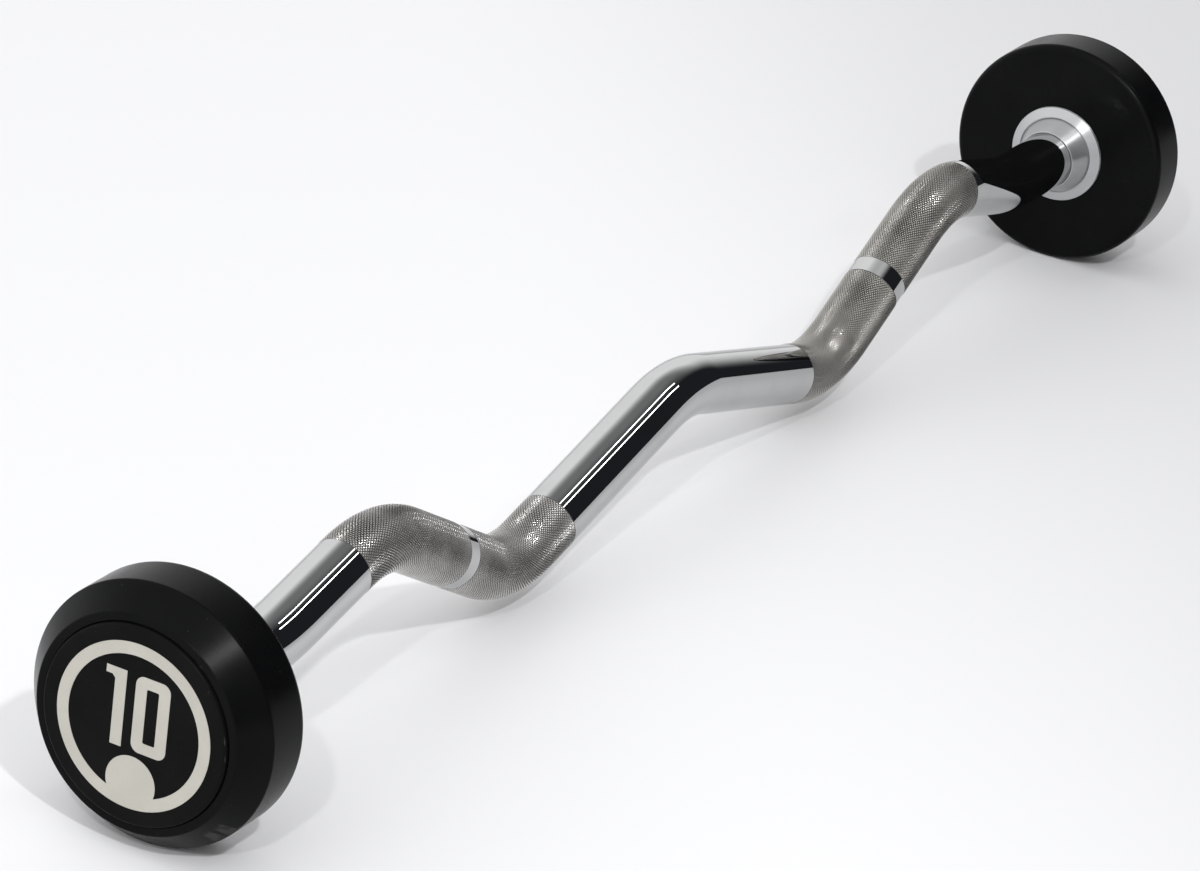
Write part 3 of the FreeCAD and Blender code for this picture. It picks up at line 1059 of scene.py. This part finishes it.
def add_turned_pair(piece, outline, sides, look, node):
    """Adds the same turned piece at both ends of the bar."""
    for side in SIDES:
        name = f"{side}_{piece}"
        mesh = turned_mesh(name, side, outline, sides)
        add_piece(name, mesh, finish(look), [f"{side}_{node}"])


class BuildBar(bpy.types.Operator):
    """Builds the bent bar and its knurled grips"""

    bl_idname = "curl_barbell.build_bar"
    bl_label = "Build Bar"

    def execute(self, context):
        bar = settings().bar
        add_piece("bar_smooth", bar_mesh(bar), finish("polished_chrome"), ["bar"])
        for name, (low, high) in grip_spans(bar, bar_runs(bar)).items():
            mesh = knurl_mesh(name, bar, low, high)
            # The right grip gets the darker knurl: soil, and painted shade of the light that falls off
            # towards the right end
            knurl = "bright_knurl" if name.startswith("left") else "soiled_knurl"
            add_piece(name, mesh, finish(knurl), ["bar"], smooth=False)
        return {"FINISHED"}


class BuildCovers(bpy.types.Operator):
    """Builds the moulded rubber covers of the heads"""

    bl_idname = "curl_barbell.build_covers"
    bl_label = "Build Rubber Covers"

    def execute(self, context):
        head = settings().head
        lip = HEAD_RADIUS - head.bevel_drop
        recess = lip - head.land_width
        slope = head.bevel_drop / head.bevel_depth
        inset = head.bevel_wall * math.hypot(1, slope)
        core_lip = lip + (CORE_FRONT - head.land_depth) * slope - inset
        core_edge = head.land_depth + (CORE_RADIUS - lip + inset) / slope
        outline = [
            (head.cap_thickness, head.well_radius, 0),
            (head.cap_thickness, recess, 0),
            (head.land_depth, recess, head.recess_rounding),
            (head.land_depth, lip, head.lip_rounding),
            (head.land_depth + head.bevel_depth, HEAD_RADIUS, head.bevel_rounding),
            (HEAD_THICKNESS, HEAD_RADIUS, head.back_rounding),
            (HEAD_THICKNESS, head.opening_radius, 0),
            (CORE_BACK, head.opening_radius, 0),
            (CORE_BACK, CORE_RADIUS, head.core_rounding),
            (core_edge, CORE_RADIUS, head.core_rounding),
            (CORE_FRONT, core_lip, head.core_rounding),
            (CORE_FRONT, head.well_radius, 0),
        ]
        add_turned_pair("cover", outline, HEAD_SIDES, "moulded_rubber", "rubber_cover")
        return {"FINISHED"}


class BuildCaps(bpy.types.Operator):
    """Builds the end caps"""

    bl_idname = "curl_barbell.build_caps"
    bl_label = "Build End Caps"

    def execute(self, context):
        head = settings().head
        plug_end = CAP_HIGH.x + REACH
        plug_bore = head.plug_radius - head.plug_wall
        outline = [
            (0, 0, 0),
            (0, CAP_RADIUS, head.cap_rounding),
            (head.cap_thickness, CAP_RADIUS, 0),
            (head.cap_thickness, head.plug_radius, 0),
            (plug_end, head.plug_radius, head.plug_rounding),
            (plug_end, plug_bore, 0),
            (head.cap_thickness, plug_bore, 0),
            (head.cap_thickness, 0, 0),
        ]
        add_turned_pair("cap", outline, HEAD_SIDES, "smooth_rubber", "end_cap")
        return {"FINISHED"}


class BuildPrints(bpy.types.Operator):
    """Builds the ring, the plain disc and the number on each cap"""

    bl_idname = "curl_barbell.build_prints"
    bl_label = "Build Cap Prints"

    def execute(self, context):
        ink = settings().ink
        shapes = {"ring": ring_and_disc(ink), "one": numeral_one(ink), "zero": numeral_zero(ink)}
        for side in SIDES:
            for shape, loops in shapes.items():
                name = f"{side}_print_{shape}"
                mesh = ink_mesh(name, side, loops, ink.thickness)
                add_piece(name, mesh, finish("cap_ink"), [])
        return {"FINISHED"}


class BuildCollars(bpy.types.Operator):
    """Builds the turned collars between bar and heads"""

    bl_idname = "curl_barbell.build_collars"
    bl_label = "Build Collars"

    def execute(self, context):
        collar = settings().collar
        flange_top = HEAD_THICKNESS + collar.flange_height
        groove_floor = flange_top - collar.groove_depth
        cone_end = collar.bar_bore + collar.cone_end_wall
        cone_base = cone_end + collar.cone_flare
        groove = cone_base + collar.groove_width
        seat = settings().bar.seat_place
        outline = [
            (CORE_BACK, collar.hub_bore, 0),
            (CORE_BACK, collar.pilot_radius, 0),
            (HEAD_THICKNESS, collar.pilot_radius, 0),
            (HEAD_THICKNESS, FLANGE_RADIUS, 0),
            (HEAD_THICKNESS + collar.flange_edge, FLANGE_RADIUS, collar.flange_rounding),
            (flange_top, groove, 0),
            (groove_floor, groove, 0),
            (groove_floor, cone_base, 0),
            (COLLAR_END, cone_end, collar.end_rounding),
            (COLLAR_END, collar.bar_bore + collar.bore_chamfer, 0),
            (COLLAR_END - collar.bore_chamfer, collar.bar_bore, 0),
            (seat, collar.bar_bore, 0),
            (seat, collar.hub_bore, 0),
        ]
        look = "lathe_aluminium"
        add_turned_pair("collar", outline, COLLAR_SIDES, look, "inner_collar")
        return {"FINISHED"}


class FinishHidden(bpy.types.Operator):
    """Gives the pieces inside the heads their finishes"""

    bl_idname = "curl_barbell.finish_hidden"
    bl_label = "Finish Hidden Pieces"

    finishes = {
        "weight_core": "cast_core",
        "drive_key": "drawn_key",
        "clamp_washer": "zinc_plate",
        "lock_washer": "tempered_steel",
        "end_bolt": "zinc_plate",
    }

    def execute(self, context):
        for side in SIDES:
            for piece, look in self.finishes.items():
                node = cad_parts[f"{side}_{piece}"]
                node.data.materials.clear()
                node.data.materials.append(finish(look))
        return {"FINISHED"}


def unit_vector(azimuth, elevation=0.0):
    """Unit vector towards an azimuth and an elevation in degrees."""
    turn = math.radians(azimuth)
    rise = math.radians(elevation)
    return Vector((math.cos(rise) * math.cos(turn), math.cos(rise) * math.sin(turn), math.sin(rise)))


class BuildStage(bpy.types.Operator):
    """Sets the camera, the lamps, the floor and the surroundings"""

    bl_idname = "curl_barbell.build_stage"
    bl_label = "Build Stage"

    # Azimuth and elevation of each lamp in degrees
    strips = {"upper": (-29.0, 58.5), "lower": (-43.0, 48.0)}
    left_key = (-164.0, 39.0)
    right_key = (-136.0, 46.0)

    # Painted shade: the floor's colour darkens to a shade along a heading, between two distances in
    # metres, for light that falls off to that side
    painted_falloff_heading = (0.646, -0.762, 0.0)
    painted_falloff_span = (-0.05, 0.50)
    painted_falloff_shade = 0.78

    # The surroundings darken towards one side and dim towards one place of the ceiling
    dark_azimuth = -60.0
    dark_span = (0.18, 0.64)
    dim_ceiling = (0.5, 0.0, 0.866)
    dim_span = (0.82, 0.99)
    dim_shade = 0.20

    def execute(self, context):
        stage = settings().stage
        context.scene.view_settings.view_transform = "Standard"
        self.add_camera(context, stage)
        self.add_floor(context, stage)
        square = (stage.key_size, stage.key_size)
        self.add_lamp(context, stage, "key_left", self.left_key, square, stage.left_power)
        self.add_lamp(context, stage, "key_right", self.right_key, square, stage.right_power)
        strip = (stage.strip_length, stage.strip_width)
        for name, angles in self.strips.items():
            self.add_lamp(context, stage, f"strip_{name}", angles, strip, stage.strip_power)
        self.light_world(context, stage)
        return {"FINISHED"}

    def add_camera(self, context, stage):
        """Adds the camera, aimed and rolled."""
        camera = bpy.data.objects.new("camera", bpy.data.cameras.new("camera"))
        camera.data.lens = stage.lens
        camera.data.sensor_fit = "HORIZONTAL"
        place = Vector(stage.camera_place)
        look = (Vector(stage.camera_aim) - place).to_track_quat("-Z", "Y").to_matrix().to_4x4()
        roll = Matrix.Rotation(stage.camera_roll, 4, "Z")
        camera.matrix_world = Matrix.Translation(place) @ look @ roll
        context.scene.collection.objects.link(camera)
        context.scene.camera = camera

    def add_floor(self, context, stage):
        """Adds a plain pale floor whose colour darkens a little to one side, as painted shade of light
        that falls off.
        """
        half = stage.floor_size / 2
        corners = [(-half, -half, 0), (half, -half, 0), (half, half, 0), (-half, half, 0)]
        mesh = bpy.data.meshes.new("floor")
        mesh.from_pydata(corners, [], [(0, 1, 2, 3)])
        floor = bpy.data.objects.new("floor", mesh)
        material, tree, shader = new_finish("floor", Roughness=0.6, Specular_IOR_Level=0.1)
        place = add(tree, "TexCoord").outputs["Object"]
        # Painted shade: the floor's colour darkens towards one side, for light that falls off there
        painted_falloff = ramp(tree, distance_along(tree, place, self.painted_falloff_heading), span=self.painted_falloff_span)
        dark = shaded(stage.floor, self.painted_falloff_shade)
        feed(tree, shader.inputs["Base Color"], blend(tree, painted_falloff, stage.floor, dark))
        mesh.materials.append(material)
        context.scene.collection.objects.link(floor)

    def add_lamp(self, context, stage, name, angles, size, power):
        """Adds a lamp that faces the bar, with its long side along the bar."""
        data = bpy.data.lights.new(name, "AREA")
        data.energy = power
        data.shape = "RECTANGLE"
        data.size, data.size_y = size
        lamp = bpy.data.objects.new(name, data)
        toward = unit_vector(*angles)
        along = (Vector((1, 0, 0)) - toward * toward.x).normalized()
        turn = Matrix((along, toward.cross(along), toward)).transposed().to_4x4()
        place = Vector((0, 0, AXIS_HEIGHT)) + toward * stage.lamp_distance
        lamp.matrix_world = Matrix.Translation(place) @ turn
        context.scene.collection.objects.link(lamp)

    def light_world(self, context, stage):
        """Surroundings of pale walls and a dim ceiling, with a dark room on one side."""
        world = bpy.data.worlds.new("surroundings")
        context.scene.world = world
        world.use_nodes = True
        tree = world.node_tree
        outlook = add(tree, "TexCoord").outputs["Generated"]
        across = distance_along(tree, outlook, unit_vector(self.dark_azimuth))
        above = distance_along(tree, outlook, self.dim_ceiling)
        side = ramp(tree, across, span=self.dark_span, to=(1.0, 0.0))
        ceiling = ramp(tree, above, span=self.dim_span, to=(1.0, self.dim_shade))
        share = combine(tree, "MULTIPLY", side, ceiling)
        background = tree.nodes["Background"]
        feed(tree, background.inputs["Color"], blend(tree, share, stage.dark_wall, stage.bright_wall))
        background.inputs["Strength"].default_value = stage.brightness


class BarbellPanel(bpy.types.Panel):
    """Lists the steps and sizes of the barbell"""

    bl_idname = "VIEW3D_PT_curl_barbell"
    bl_label = "Curl Barbell"
    bl_space_type = "VIEW_3D"
    bl_region_type = "UI"
    bl_category = "Curl Barbell"

    def draw(self, context):
        for step in STEPS:
            self.layout.operator(step.bl_idname)
        barbell = context.scene.curl_barbell
        for group in ("bar", "head", "collar", "ink", "colours", "stage"):
            box = self.layout.box()
            sizes = getattr(barbell, group)
            for name in sizes.bl_rna.properties.keys():
                if name not in ("rna_type", "name"):
                    box.prop(sizes, name)


STEPS = (BuildBar, BuildCovers, BuildCaps, BuildPrints, BuildCollars, FinishHidden, BuildStage)
GROUPS = (BarSizes, HeadSizes, CollarSizes, PrintSizes, FinishColours, StageSettings, BarbellSettings)


def register():
    """Registers the classes and gives each scene its barbell settings."""
    for kind in (*GROUPS, *STEPS, BarbellPanel):
        bpy.utils.register_class(kind)
    bpy.types.Scene.curl_barbell = PointerProperty(type=BarbellSettings)


def unregister():
    """Takes back what register set up."""
    del bpy.types.Scene.curl_barbell
    for kind in reversed((*GROUPS, *STEPS, BarbellPanel)):
        bpy.utils.unregister_class(kind)


def main():
    register()
    bpy.ops.curl_barbell.build_bar()
    bpy.ops.curl_barbell.build_covers()
    bpy.ops.curl_barbell.build_caps()
    bpy.ops.curl_barbell.build_prints()
    bpy.ops.curl_barbell.build_collars()
    bpy.ops.curl_barbell.finish_hidden()
    bpy.ops.curl_barbell.build_stage()


if __name__ == "__main__":
    main()
